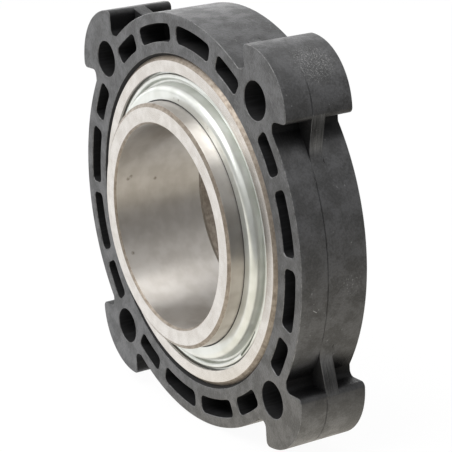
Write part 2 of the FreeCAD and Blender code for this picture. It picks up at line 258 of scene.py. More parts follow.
def arc(centre, radius, first, last, step):
    """Points of an arc: centre + radius * (cos a, sin a), with a from first to last."""
    steps = max(2, math.ceil(abs(last - first) * radius / step))
    a = np.linspace(first, last, steps + 1)
    return np.asarray(centre, float) + radius * np.stack([np.cos(a), np.sin(a)], -1)


def circle(centre, radius, steps):
    """Closed circle: centre + radius * (cos a, sin a)."""
    a = np.linspace(0, 2 * math.pi, steps, endpoint=False)
    return np.asarray(centre, float) + radius * np.stack([np.cos(a), np.sin(a)], -1)


def quarter(depth, start):
    """(depth, y) steps of a rounded edge, from the face inwards: depth * (1 - sin a, 1 - cos a)."""
    a = np.linspace(0, math.pi / 2, ROUND_STEPS + 1)
    return [(depth * (1 - math.sin(t)), start + depth * (1 - math.cos(t))) for t in a]


def join(*runs):
    """Runs of points joined end to end, with the shared points taken once."""
    return np.concatenate([runs[0]] + [run[1:] for run in runs[1:]])


def evenly(points, steps):
    """The same run of points, spaced evenly along its length."""
    run = np.concatenate([[0], np.cumsum(np.linalg.norm(np.diff(points, axis=0), axis=1))])
    t = np.linspace(0, run[-1], steps + 1)
    return np.stack([np.interp(t, run, points[:, 0]), np.interp(t, run, points[:, 1])], -1)


def section(corners, radii, closed=True):
    """Corners joined by straight runs, with an arc of the given radius at each corner.

    At a corner with half angle h the arc touches both runs at radius / tan(h) from it, and its
    points are centre + radius * direction, turned evenly from one touch to the other.
    """
    corners = np.asarray(corners, float)
    pieces = []
    for i, radius in enumerate(radii):
        corner = corners[i]
        if not closed and i in (0, len(corners) - 1) or radius == 0:
            pieces.append(corner[None])
            continue
        back = corners[i - 1] - corner
        ahead = corners[(i + 1) % len(corners)] - corner
        back /= np.hypot(*back)
        ahead /= np.hypot(*ahead)
        half = math.acos(max(-1.0, min(1.0, float(back @ ahead)))) / 2
        centre = corner + (back + ahead) / np.hypot(*(back + ahead)) * radius / math.sin(half)
        enter = corner + back * radius / math.tan(half) - centre
        leave = corner + ahead * radius / math.tan(half) - centre
        turn = math.pi - 2 * half
        t = np.linspace(0, 1, max(2, math.ceil(turn / ARC_STEP)) + 1)[:, None]
        direction = enter * np.sin((1 - t) * turn) + leave * np.sin(t * turn)
        pieces.append(centre + direction / math.sin(turn))
    return np.concatenate(pieces)


def inward(loop):
    """Unit vector into the material at each point of a counter-clockwise closed outline."""
    back = loop - np.roll(loop, 1, 0)
    ahead = np.roll(loop, -1, 0) - loop
    back /= np.linalg.norm(back, axis=1, keepdims=True)
    ahead /= np.linalg.norm(ahead, axis=1, keepdims=True)
    run = back + ahead
    normal = np.stack([-run[:, 1], run[:, 0]], -1) / np.linalg.norm(run, axis=1, keepdims=True)
    mitre = np.sum(normal * np.stack([-ahead[:, 1], ahead[:, 0]], -1), 1, keepdims=True)
    return normal / mitre


def thickened(line, thickness):
    """Closed section about an open centre line: the line moved half the thickness each way."""
    run = np.gradient(line, axis=0)
    across = np.stack([-run[:, 1], run[:, 0]], -1) / np.linalg.norm(run, axis=1, keepdims=True)
    return np.concatenate([line + across * thickness / 2, (line - across * thickness / 2)[::-1]])


def inside(points, loop):
    """True for each point within a closed outline: a ray to +X crosses its edges an odd number of times."""
    x, z = points[:, :1], points[:, 1:]
    start, end = loop, np.roll(loop, -1, 0)
    spans = (start[:, 1] > z) != (end[:, 1] > z)
    rise = np.where(start[:, 1] == end[:, 1], 1.0, end[:, 1] - start[:, 1])
    crossing = start[:, 0] + (z - start[:, 1]) * (end[:, 0] - start[:, 0]) / rise
    return np.sum(spans & (x < crossing), 1) % 2 == 1


# Surfaces. Each is (points, faces, material number of each face).


def raised(flat, y):
    """Points (x, y, z) of an outline of (x, z) at height y."""
    return np.insert(flat, 1, y, axis=1)


def grid(points, wrap_rows=False, wrap_columns=True, material=0):
    """A surface through a grid of points: each face joins four neighbours.

    points has the shape rows, columns, 3. material is one number, or one for each row of faces.
    """
    rows, columns = points.shape[:2]
    i = np.arange(rows if wrap_rows else rows - 1)
    j = np.arange(columns if wrap_columns else columns - 1)
    numbers = np.broadcast_to(np.asarray(material), i.shape)
    i, j = [index.ravel() for index in np.meshgrid(i, j, indexing="ij")]
    below, beside = (i + 1) % rows, (j + 1) % columns
    corners = [i * columns + j, i * columns + beside, below * columns + beside, below * columns + j]
    return points.reshape(-1, 3), np.stack(corners, -1), numbers[i]


def turned(profile, material=0, closed=True):
    """Section of (radius, y) turned about the shaft: point = (r cos a, y, r sin a)."""
    a = np.linspace(0, 2 * math.pi, TURN_STEPS, endpoint=False)[None]
    r, y = profile[:, :1], profile[:, 1:]
    points = np.stack([r * np.cos(a), y + 0 * a, r * np.sin(a)], -1)
    return grid(points, wrap_rows=closed, material=material)


def carried(loop, steps):
    """A profile carried along a closed outline in the XZ plane.

    Row k lies at y = steps[k][1], moved into the material by steps[k][0], a number or one for
    each point of the outline: point = outline + depth * inward.
    """
    into = inward(loop)
    return grid(np.stack([raised(loop + into * np.broadcast_to(depth, len(loop))[:, None], y)
                          for depth, y in steps]))


def between(first, second, y):
    """Dull flat strip with painted shade at height y, ruled between two outlines with as many points each."""
    return grid(np.stack([raised(first, y), raised(second, y)]), wrap_columns=False, material=1)


def fan(loop, y):
    """Dull flat cover with painted shade of a closed outline at height y: triangles from its middle."""
    n = len(loop)
    i = np.arange(n)
    faces = np.stack([i, (i + 1) % n, np.full(n, n)], -1)
    return raised(np.concatenate([loop, loop.mean(0)[None]]), y), faces, np.ones(n, int)


def plate(outside, holes, y):
    """Flat face at height y inside one outline and outside the others, as Delaunay triangles."""
    loops = [outside] + holes
    starts = np.cumsum([0] + [len(loop) for loop in loops])
    edges = [(int(start + i), int(start + (i + 1) % len(loop)))
             for start, loop in zip(starts, loops) for i in range(len(loop))]
    flat, _, faces, *_ = delaunay_2d_cdt([Vector(p) for p in np.concatenate(loops)], edges, [], 0, FLAT_WELD)
    flat, faces = np.array(flat), np.array(faces)
    middles = flat[faces].mean(1)
    keep = inside(middles, outside)
    for hole in holes:
        keep &= ~inside(middles, hole)
    return raised(flat, y), faces[keep], np.zeros(keep.sum(), int)


def new_object(name, data):
    """An object of the scene that holds this data."""
    item = bpy.data.objects.new(name, data)
    bpy.context.scene.collection.objects.link(item)
    return item


def make_piece(name, surfaces, materials, body, replaced):
    """One closed mesh from its surfaces: seams welded, faces outwards, creases kept sharp."""
    points, faces, numbers, count = [], [], [], 0
    for surface_points, surface_faces, surface_numbers in surfaces:
        points.append(surface_points)
        faces += (surface_faces + count).tolist()
        numbers.append(surface_numbers)
        count += len(surface_points)
    mesh = bpy.data.meshes.new(name)
    mesh.from_pydata((np.concatenate(points) * MM).tolist(), [], faces)
    mesh.polygons.foreach_set("material_index", np.concatenate(numbers).astype(np.int32))
    shape = bmesh.new()
    shape.from_mesh(mesh)
    bmesh.ops.remove_doubles(shape, verts=shape.verts, dist=WELD * MM)
    bmesh.ops.dissolve_degenerate(shape, edges=shape.edges, dist=WELD * MM / 2)
    bmesh.ops.recalc_face_normals(shape, faces=shape.faces)
    shape.to_mesh(mesh)
    shape.free()
    for material in materials:
        mesh.materials.append(material)
    mesh.polygons.foreach_set("use_smooth", np.ones(len(mesh.polygons), bool))
    mesh.set_sharp_from_angle(angle=CREASE)
    piece = new_object(name, mesh)
    even = piece.modifiers.new("even_normals", "WEIGHTED_NORMAL")
    even.keep_sharp = True
    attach(piece, body)
    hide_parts(*replaced)


# Patterns. Each adds its nodes with the function add, and hands back the output that holds it.


def add_node(tree, kind, inputs=(), output=0, **settings):
    """Adds a shader node and hands back one of its outputs.

    Each input is a value or another node's output. They stand in the node's own order, or in a
    dict by name or number. Colours have three channels here.
    """
    node = tree.nodes.new("ShaderNode" + kind)
    for name, value in settings.items():
        setattr(node, name, value)
    for key, value in inputs.items() if isinstance(inputs, dict) else enumerate(inputs):
        socket = node.inputs[key]
        if isinstance(value, bpy.types.NodeSocket):
            tree.links.new(value, socket)
        else:
            socket.default_value = (*value, 1) if socket.type == "RGBA" else value
    return node.outputs[output] if node.outputs else None


def start_nodes(owner):
    """Empties the nodes of a material or world, and hands back the function that adds to them."""
    owner.use_nodes = True
    owner.node_tree.nodes.clear()
    return functools.partial(add_node, owner.node_tree)


def make_material(finish, colours):
    """A material named after its finish, the function that works out its shader's inputs."""
    material = bpy.data.materials.new(finish.__name__)
    add = start_nodes(material)
    shader = add("BsdfPrincipled", finish(add, add("TexCoord", output="Object"), colours))
    add("OutputMaterial", {"Surface": shader})
    return material


def per_mm(size):
    """Noise scale on coordinates in metres for features of this size in mm."""
    return 1000 / size


def joined(add, operation, *values):
    """Masks and numbers put together by one operation, two at a time."""
    return functools.reduce(lambda one, other: add("Math", (one, other), operation=operation), values)


def graded(add, pattern, low, high, first, second):
    """Colour that goes from first to second as the pattern rises from low to high."""
    share = add("MapRange", (pattern, low, high), **EASED)
    return add("Mix", {0: share, 6: first, 7: second}, **BLENDED)


def patches(add, place, scale, low, high, detail=2.0, rough=0.5):
    """Mask of uneven patches: noise eased from 0 to 1 between two of its levels."""
    pattern = add("TexNoise", {"Vector": place, "Scale": scale, "Detail": detail, "Roughness": rough})
    return add("MapRange", (pattern, low, high), **EASED)


def stretched(add, place, sizes):
    """Coordinates on which noise of scale 1 has features this many mm long in x, y and z."""
    return add("VectorMath", (place, [per_mm(size) for size in sizes]), operation="MULTIPLY")


def from_shaft(add, place):
    """Distance of a place from the shaft's axis: the length of (x, 0, z)."""
    flat = add("VectorMath", (place, (1, 0, 1)), operation="MULTIPLY")
    return add("VectorMath", (flat,), output="Value", operation="LENGTH")


def around_marks(add, place, fine, long):
    """Coordinates for marks that run round the shaft, fine across them and long along them.

    The vector is (x / long, (r + y) / fine, z / long) with r the distance from the shaft, so
    that it varies fast across a turned or ground surface and slowly round it.
    """
    x, y, z = add("SeparateXYZ", (place,)).node.outputs
    across = joined(add, "ADD", from_shaft(add, place), y)
    return stretched(add, add("CombineXYZ", (x, across, z)), (long, fine, long))


def across_marks(add, place):
    """Tangent across the marks of turning and grinding: outwards on a face, along the shaft on a bore."""
    flat = add("VectorMath", (place, (1, 0, 1)), operation="MULTIPLY")
    outwards = add("VectorMath", (flat,), operation="NORMALIZE")
    return add("VectorMath", (outwards, (0, 1, 0)), operation="ADD")


def folded(add, place):
    """The larger and the smaller of |x| and |z|, and |y|: the part's symmetry taken out."""
    x, y, z = [add("Math", (way,), operation="ABSOLUTE")
               for way in add("SeparateXYZ", (place,)).node.outputs]
    return joined(add, "MAXIMUM", x, z), joined(add, "MINIMUM", x, z), y


def facing(add):
    """How squarely a surface looks along the shaft: 1 on a flat face, 0 on a wall."""
    y = add("SeparateXYZ", (add("NewGeometry", output="Normal"),), output="Y")
    return add("Math", (y,), operation="ABSOLUTE")


def rounded_edges(add):
    """1 on the roundings between a face that looks along the shaft and a wall beside it."""
    lean = facing(add)
    return joined(add, "MULTIPLY", add("MapRange", (lean, 0.2, 0.45), **EASED),
                  add("MapRange", (lean, 0.8, 0.95, 1, 0), **EASED))


def walls_only(add):
    """1 on walls that run along the shaft, 0 on faces square to it."""
    return add("MapRange", (facing(add), 0.5, 0.8, 1, 0), **EASED)


def near(add, place, spots, inner, outer):
    """1 within the inner distance of any of the spots, easing to 0 at the outer one, all in mm."""
    masks = []
    for spot in spots:
        apart = add("VectorMath", (place, Vector(spot) * MM), output="Value", operation="DISTANCE")
        masks.append(add("MapRange", (apart, inner * MM, outer * MM, 1, 0), **EASED))
    return joined(add, "MAXIMUM", *masks)


def scratches(add, place, lines, width):
    """1 on thin lines between pairs of points, all in mm.

    The distance to a line from a to b is |p - a - t (b - a)|, with t the share
    ((p - a) . (b - a)) / |b - a|^2 held between 0 and 1.
    """
    masks = []
    for start, end in lines:
        run = (Vector(end) - Vector(start)) * MM
        away = add("VectorMath", (place, Vector(start) * MM), operation="SUBTRACT")
        share = add("VectorMath", (away, run / run.length_squared), output="Value", operation="DOT_PRODUCT")
        foot = add("VectorMath", {0: run, "Scale": add("Clamp", (share,))}, operation="SCALE")
        apart = add("VectorMath", (away, foot), output="Value", operation="DISTANCE")
        masks.append(add("MapRange", (apart, width / 4 * MM, width / 2 * MM, 1, 0), **EASED))
    return joined(add, "MAXIMUM", *masks)


def bumps(add, *layers):
    """Normal with bumps over one another: each layer is a height of 0 to 1 and its depth in mm."""
    below = {}
    for height, depth in layers:
        below = {"Normal": add("Bump", {"Height": height, "Distance": depth * MM, **below})}
    return below["Normal"]


def nylon_wear_and_edge_highlight(add, place, scuff):
    """How much wear the nylon's skin shows, with painted highlights on its rounded edges, from 0 to 1.

    The scuff is joined by streaks of the milled tool on the web's own edge, painted highlights on
    the rounded edges clear of the seam, scratches, and pale dots, which are thicker in one place on the rim.
    """
    _, aside, height = folded(add, place)
    off_lug = add("Math", (aside, (LUG_MID - STREAK_GAP) * MM), operation="LESS_THAN")
    off_rim = add("MapRange", (from_shaft(add, place), (RIM_R + STREAK_GAP) * MM,
                               (RIM_R + STREAKS_FULL) * MM), **EASED)
    on_web = add("Math", (height, (MID_WEB / 2 - WEB_MARGIN) * MM), operation="LESS_THAN")
    streaks = joined(add, "MULTIPLY", patches(add, stretched(add, place, (6.0, 0.22, 6.0)), 1, 0.35, 0.7),
                     off_lug, off_rim, on_web, 0.4)
    off_seam = add("Math", (height, (MID_WEB / 2 + SEAM_MARGIN) * MM), operation="GREATER_THAN")
    # Painted highlight: the rounded edges are lightened in patches, where they would catch the light.
    edge_highlight = joined(add, "MULTIPLY", rounded_edges(add), off_seam,
                    patches(add, place, per_mm(1.6), 0.35, 0.65, 3, 0.7), 0.7)
    thick = joined(add, "MULTIPLY", near(add, place, SPECKLED, 1.0, 4.0),
                   patches(add, place, per_mm(0.5), 0.66, 0.72, 0))
    dots = joined(add, "MAXIMUM", patches(add, place, per_mm(0.8), 0.83, 0.87, 0), thick)
    return joined(add, "MAXIMUM", scuff, streaks, edge_highlight, scratches(add, place, SCRATCHES, 0.3),
                  joined(add, "MULTIPLY", dots, 0.5))


def painted_notch_shade(add, place):
    """Painted shade: 1 on the walls deep in the notches, where shade falls, except in the one that opens to
    the light, up on the right.
    """
    far, aside, _ = folded(add, place)
    x, _, z = add("SeparateXYZ", (place,)).node.outputs
    corner = ((NECK_AT + NOTCH_INNER) * MM, (LUG_AT - NOTCH_INNER) * MM, 0)
    apart = add("VectorMath", (add("CombineXYZ", (far, aside)), corner), output="Value", operation="DISTANCE")
    open_above = joined(add, "MINIMUM", x, joined(add, "SUBTRACT", z, x))
    dimmest, lit = NOTCH_SHADE
    return joined(add, "MULTIPLY", add("MapRange", (apart, dimmest * MM, lit * MM, 1, 0), **EASED),
                  add("MapRange", (open_above, 0, OPEN_EASE * MM, 1, 0), **EASED), walls_only(add))


# Finishes. Each works out the inputs of its material's shader.


def moulded_glass_filled_nylon(add, place, colours):
    """Glass-filled nylon, injection moulded: near black, satin, with faint flow marks.

    The fibres near the skin give the eye a fine grain and cloudy patches a few mm wide. One lug
    was scuffed in a heap of others, which left a patch of pale specks, and the web's edges keep
    the streaks of the milled tool.
    """
    cloud = patches(add, place, per_mm(5.0), 0.35, 0.65, 3, 0.6)
    grain = patches(add, place, per_mm(0.6), 0.35, 0.65, 3, 0.7)
    tone = add("Math", (grain, 0.9, cloud), operation="MULTIPLY_ADD")
    plain = graded(add, tone, 0, 1.9, colours.plastic_dark, colours.plastic_light)
    scuff = joined(add, "MULTIPLY", patches(add, place, per_mm(0.34), 0.52, 0.63, 3, 0.7),
                   near(add, place, SCUFFS, 2.0, 7.5))
    # Scuffs, streaks, scratches and dots, and the painted highlights on the rounded edges, all take the pale
    # wear colour.
    wear_and_highlight = joined(add, "MULTIPLY", nylon_wear_and_edge_highlight(add, place, scuff), 0.7)
    skin = add("Mix", {0: wear_and_highlight, 6: plain, 7: colours.plastic_wear_and_highlight}, **BLENDED)
    # Painted shade: deep in the notches the skin takes the dark pocket colour and loses most of its gloss.
    notch = painted_notch_shade(add, place)
    rolling = add("TexNoise", {"Vector": place, "Scale": per_mm(3.0)})
    return {
        "Base Color": add("Mix", {0: notch, 6: skin, 7: colours.cored_shade_dark}, **BLENDED),
        "Specular IOR Level": add("MapRange", (notch, 0, 1, 0.7, 0.12), **EASED),
        "Roughness": add("MapRange", (cloud, 0, 1, 0.54, 0.44), **EASED),
        "IOR": 1.62,
        "Normal": bumps(add, (grain, 0.04), (rolling, 0.05), (scuff, 0.03)),
    }


def cored_nylon_with_painted_shade(add, place, colours):
    """The same nylon where the tool's cores were drawn out: dull, with drag marks, and painted near black as
    shade for the depth of the recesses it lines.
    """
    drag = add("TexNoise", {"Vector": stretched(add, place, (0.5, 8.0, 0.5)), "Scale": 1, "Roughness": 0.6})
    return {
        "Base Color": graded(add, drag, 0.4, 0.75, colours.cored_shade_dark, colours.cored_shade_light),
        "Roughness": 0.7,
        "IOR": 1.4,
        "Normal": bumps(add, (drag, 0.02)),
    }


def ground_bearing_steel(add, place, colours):
    """Bearing steel, hardened and ground: bright, with fine marks round the shaft and a few stains.

    Real grinding marks are too fine to show. They are drawn 0.14 mm wide, and the gloss of the
    walls is spread across them, as such marks do.
    """
    marks = add("TexNoise", {"Vector": around_marks(add, place, 0.14, 12.0), "Scale": 1, "Detail": 3,
                             "Roughness": 0.6})
    smear = add("TexNoise", {"Vector": place, "Scale": per_mm(4.0)})
    clean = graded(add, smear, 0.3, 0.7, colours.ground_dark, colours.ground_light)
    stain = joined(add, "MULTIPLY", near(add, place, STAINS, 0.15, 0.75),
                   patches(add, place, per_mm(0.5), 0.3, 0.55), 0.75)
    walls = walls_only(add)
    return {
        "Base Color": add("Mix", {0: stain, 6: clean, 7: colours.skin_dark}, **BLENDED),
        "Metallic": 1.0,
        "Roughness": joined(add, "ADD", add("Mix", {0: walls, 2: 0.24, 3: 0.42}),
                            add("MapRange", (marks, 0.3, 0.7, -0.04, 0.04), **EASED)),
        "Anisotropic": joined(add, "MULTIPLY", walls, 0.95),
        "Tangent": across_marks(add, place),
        "Normal": bumps(add, (marks, 0.0015)),
    }


def hardened_unground_steel(add, place, colours):
    """Bearing steel left as turned and hardened: a brown oxide skin with coarse turning marks."""
    marks = add("TexNoise", {"Vector": around_marks(add, place, 0.3, 3.0), "Scale": 1, "Detail": 3,
                             "Roughness": 0.65})
    patch = add("TexNoise", {"Vector": place, "Scale": per_mm(1.4), "Detail": 3, "Roughness": 0.65})
    tone = add("Math", (marks, 0.5, patch), operation="MULTIPLY_ADD")
    return {
        "Base Color": graded(add, tone, 0.5, 1.0, colours.skin_dark, colours.skin_light),
        "Metallic": 0.65,
        "Roughness": add("MapRange", (patch, 0.3, 0.7, 0.5, 0.38), **EASED),
        "Normal": bumps(add, (marks, 0.006)),
    }


def zinc_plated_sheet(add, place, colours):
    """Steel sheet, pressed and zinc plated: pale, barely green, with a soft gloss and small nicks, and a
    painted line of shade on the bead.
    """
    cloud = add("TexNoise", {"Vector": place, "Scale": per_mm(6.0)})
    fine = add("TexNoise", {"Vector": place, "Scale": per_mm(0.8)})
    clean = graded(add, cloud, 0.3, 0.7, colours.zinc_dark, colours.zinc_light)
    # Painted shade: the dark green colour called oil draws the shade of the gap beside the bead.
    with_gap_shade = add("Mix", {0: scratches(add, place, GAP_SHADE_LINES, 1.1), 6: clean, 7: colours.oil}, **BLENDED)
    nick = joined(add, "MULTIPLY", near(add, place, NICKS, 0.1, 0.55),
                  patches(add, place, per_mm(0.4), 0.4, 0.6), 0.8)
    return {
        "Base Color": add("Mix", {0: nick, 6: with_gap_shade, 7: colours.skin_dark}, **BLENDED),
        "Metallic": 0.75,
        "Roughness": add("MapRange", (fine, 0.3, 0.7, 0.28, 0.34), **EASED),
    }


def moulded_nitrile_rubber(add, place, colours):
    """Nitrile rubber, moulded on to the sheet: near black and matt."""
    speck = add("TexNoise", {"Vector": place, "Scale": per_mm(0.4)})
    return {
        "Base Color": graded(add, speck, 0.3, 0.7, colours.rubber, [c * 1.6 for c in colours.rubber]),
        "Roughness": 0.62,
        "Normal": bumps(add, (speck, 0.01)),
    }


def lapped_ball_steel(add, place, colours):
    """Bearing steel balls, lapped to a mirror, with a thin film of grease that clouds them."""
    film = add("TexNoise", {"Vector": place, "Scale": per_mm(2.5)})
    return {
        "Base Color": graded(add, film, 0.3, 0.7, colours.ground_dark, colours.ground_light),
        "Metallic": 1.0,
        "Roughness": add("MapRange", (film, 0.3, 0.7, 0.06, 0.18), **EASED),
    }


def pressed_cage_steel(add, place, colours):
    """Soft steel strip, pressed and riveted: dull, with rolling marks and a little oil."""
    marks = add("TexNoise", {"Vector": around_marks(add, place, 0.3, 6.0), "Scale": 1, "Roughness": 0.6})
    return {
        "Base Color": graded(add, marks, 0.3, 0.7, colours.ground_dark, colours.zinc_dark),
        "Metallic": 1.0,
        "Roughness": add("MapRange", (marks, 0.3, 0.7, 0.32, 0.45), **EASED),
        "Normal": bumps(add, (marks, 0.006)),
    }


# The housing's outlines


def quadrant_turned(points, quarters):
    """Points turned by quarter turns about the shaft, counter-clockwise in the XZ plane."""
    c, s = round(math.cos(quarters * math.pi / 2)), round(math.sin(quarters * math.pi / 2))
    return points @ np.array([[c, s], [-s, c]], float)


def swapped(points):
    """Points mirrored about the line through the lug, in the opposite order."""
    return points[::-1, ::-1]


def web_run():
    """The web's leaning edge: where it touches the lug's corner arc, its fillet's centre and its foot.

    The edge is the corner arc's tangent that leans by WEB_LEAN. The fillet's centre lies WEB_FILLET
    outside it and RIM_R + WEB_FILLET from the shaft.
    """
    up = np.array([math.sin(WEB_LEAN), math.cos(WEB_LEAN)])
    out = np.array([math.cos(WEB_LEAN), -math.sin(WEB_LEAN)])
    touch = np.array([LUG_FAR - CORNER_R, LUG_MID]) + CORNER_R * out
    start = touch + out * WEB_FILLET
    along_up = start @ up
    run = along_up - math.sqrt(along_up ** 2 - start @ start + (RIM_R + WEB_FILLET) ** 2)
    centre = start - run * up
    return touch, centre, centre - out * WEB_FILLET


def notch_edges():
    """The two ways across the notch under a lug, from the rim up to the lug's corner.

    The deep one is the full-depth outline: rim, neck, inner corner and the lug's end face. The
    shallow one is the web's edge: its fillet on the rim and its leaning run. Both have as many
    points, spaced evenly along their length. The angle where they leave the rim comes last.
    """
    touch, centre, foot = web_run()
    start_angle = math.atan2(centre[1], centre[0])
    neck_angle = math.acos(NECK_AT / RIM_R)
    near_end = LUG_FAR - CORNER_R
    deep = join(
        arc((0, 0), RIM_R, start_angle, neck_angle, NOTCH_ARC_STEP),
        np.array([(NECK_AT, RIM_R * math.sin(neck_angle)), (NECK_AT, LUG_AT - NECK_R)]),
        arc((NECK_AT + NECK_R, LUG_AT - NECK_R), NECK_R, math.pi, math.pi / 2, NOTCH_ARC_STEP),
        np.array([(NECK_AT + NECK_R, LUG_AT), (near_end, LUG_AT)]),
        arc((near_end, LUG_MID), CORNER_R, -math.pi / 2, -WEB_LEAN, CORNER_ARC_STEP),
    )
    fillet = arc(centre, WEB_FILLET, start_angle + math.pi, math.pi - WEB_LEAN, NOTCH_ARC_STEP)
    shallow = join(fillet, np.stack([foot, touch]))
    return evenly(deep, NOTCH_STEPS), evenly(shallow, NOTCH_STEPS), start_angle


def fade(count):
    """1 along a run of points, easing from 0 at both its ends."""
    i = np.arange(count)
    return np.clip(np.minimum(i, count - i) / FADE_STEPS, 0, 1)


def housing_outlines():
    """The full-depth outline, the web's outline and, for each point, its share of each.

    Both outlines go counter-clockwise through the same points on the rim and on the lugs, and
    part only in the notches. free is 1 on the web's own edge, held is 1 on what both share, and
    both fade to 0 where a notch starts or ends.
    """
    deep, shallow, start_angle = notch_edges()
    rim = arc((0, 0), RIM_R, -start_angle, start_angle, PATH_STEP)
    corner = arc((LUG_FAR - CORNER_R, LUG_MID), CORNER_R, -WEB_LEAN, 0, CORNER_ARC_STEP)
    cap = arc((LUG_MID, LUG_MID), LUG_R, 0, math.pi / 2, PATH_STEP)
    lug = join(corner, cap, swapped(corner))
    outlines = []
    for notch in (deep, shallow):
        quadrant = [rim[:-1], notch[:-1], lug[:-1], swapped(notch)[:-1]]
        outlines.append(np.concatenate([quadrant_turned(run, k) for k in range(4) for run in quadrant]))
    shares = [fade(len(run) - 1) for run in (rim, deep, lug, deep)]
    held = np.concatenate([shares[0], 0 * shares[1], shares[2], 0 * shares[3]] * 4)
    free = np.concatenate([0 * shares[0], shares[1], 0 * shares[2], shares[3]] * 4)
    return outlines[0], outlines[1], held, free


def rounded_sector(first, last, grow):
    """Pocket outline between two angles, grown by a margin: a rounded box bent round the shaft.

    In the box, s is the distance along the middle radius and r the radius. Each point then goes
    to r * (cos(s / middle), sin(s / middle)).
    """
    s = first * POCKET_MID_R - grow, last * POCKET_MID_R + grow
    r = POCKET_IN_R - grow, POCKET_OUT_R + grow
    corners = section([(s[1], r[0]), (s[1], r[1]), (s[0], r[1]), (s[0], r[0])], [POCKET_R + grow] * 4)
    runs = corners.reshape(4, -1, 2)
    box = []
    for i, run in enumerate(runs):
        steps = POCKET_LONG_STEPS if i % 2 else POCKET_SHORT_STEPS
        box += [run, along(run[-1], runs[(i + 1) % 4][0], steps)[1:-1]]
    box = np.concatenate(box)
    angle = box[:, 0] / POCKET_MID_R
    return box[:, 1:] * np.stack([np.cos(angle), np.sin(angle)], -1)


def pocket_angles():
    """First and last angle of each of the sixteen pockets."""
    long_from = AXIS_RIB / 2 / POCKET_MID_R
    long_to = long_from + LONG_POCKET
    short_from = long_to + SIDE_RIB / POCKET_MID_R
    pair = [(long_from, long_to), (short_from, short_from + SHORT_POCKET)]
    pair += [(-last, -first) for first, last in pair]
    return [(first + k * math.pi / 2, last + k * math.pi / 2) for first, last in pair for k in range(4)]


def hole_centres():
    """Centres of the four bolt holes."""
    return [quadrant_turned(np.array([HOLE_AT, HOLE_AT]), k) for k in range(4)]


# The housing's surfaces


def side_faces(settings, sign):
    """The front or the rear half of the moulding: its face and its pockets."""
    face = sign * HOUSING_HALF
    mouth = settings.pocket_round / MM
    surfaces, openings = [], []
    for first, last in pocket_angles():
        steps = [(grow, face - sign * y) for grow, y in quarter(mouth, 0)]
        steps += [(-shrink - settings.draft / MM, sign * (MID_WEB / 2 + y))
                  for y, shrink in quarter(POCKET_FOOT_R, 0)]
        rows = [rounded_sector(first, last, grow) for grow, _ in steps]
        heights = [y for _, y in steps]
        # The pocket walls and floors get the dull material, painted dark as shade.
        dull = np.ones(len(rows) - 1, int)
        dull[:ROUND_STEPS] = 0
        surfaces.append(grid(np.stack([raised(row, y) for row, y in zip(rows, heights)]), material=dull))
        surfaces.append(fan(rows[-1], heights[-1]))
        openings.append(rows[0])
    openings += [circle(centre, HOLE_R + mouth, HOLE_STEPS) for centre in hole_centres()]
    openings.append(circle((0, 0), seat_profile()[0, 0], TURN_STEPS))
    full = housing_outlines()[0]
    surfaces.append(plate(full + inward(full) * settings.edge_round / MM, openings, face))
    return surfaces


def hole_walls(settings):
    """The four bolt holes: rounded mouths and a fine ridge where the two mould halves meet."""
    mouth = quarter(settings.pocket_round / MM, 0)
    flash = settings.flash / MM
    steps = [(grow, y - HOUSING_HALF) for grow, y in mouth]
    steps += [(0, SEAM_Y - RIDGE_FOOT), (-flash, SEAM_Y - RIDGE_HALF), (-flash, SEAM_Y + RIDGE_HALF),
              (0, SEAM_Y + RIDGE_FOOT)]
    steps += [(grow, HOUSING_HALF - y) for grow, y in reversed(mouth)]
    # The bolt holes' walls get the dull material, painted dark as shade.
    dull = np.ones(len(steps) - 1, int)
    dull[:ROUND_STEPS] = dull[-ROUND_STEPS:] = 0
    return [grid(np.stack([raised(circle(centre, HOLE_R + grow, HOLE_STEPS), y) for grow, y in steps]),
                 material=dull) for centre in hole_centres()]


def seat_profile():
    """Half section of the seat's lip, from the face through its rounded mouth to the seat."""
    seat_y = RING_HALF - RING_CHAMFER
    mouth = OUTER_R - LIP_OVER + LIP_FLARE
    corners = [(mouth + 2 * LIP_ROUND, HOUSING_HALF), (mouth, HOUSING_HALF),
               (OUTER_R - LIP_OVER, seat_y + LIP_OVER), (OUTER_R, seat_y)]
    return section(corners, [0, LIP_ROUND, 0, 0], closed=False)[1:]


def seat_wall():
    """The bore that holds the outer ring, from one face to the other, with a lip at each end."""
    half = seat_profile()
    profile = np.concatenate([half * (1, -1), half[::-1]])
    # The flare's inner part, in the crevice by the ring, gets the dull material, painted dark as shade.
    dull = profile[1:, 0] < OUTER_R - LIP_OVER + DULL_SHADED_FLARE * LIP_FLARE
    return turned(profile, dull.astype(int), closed=False)


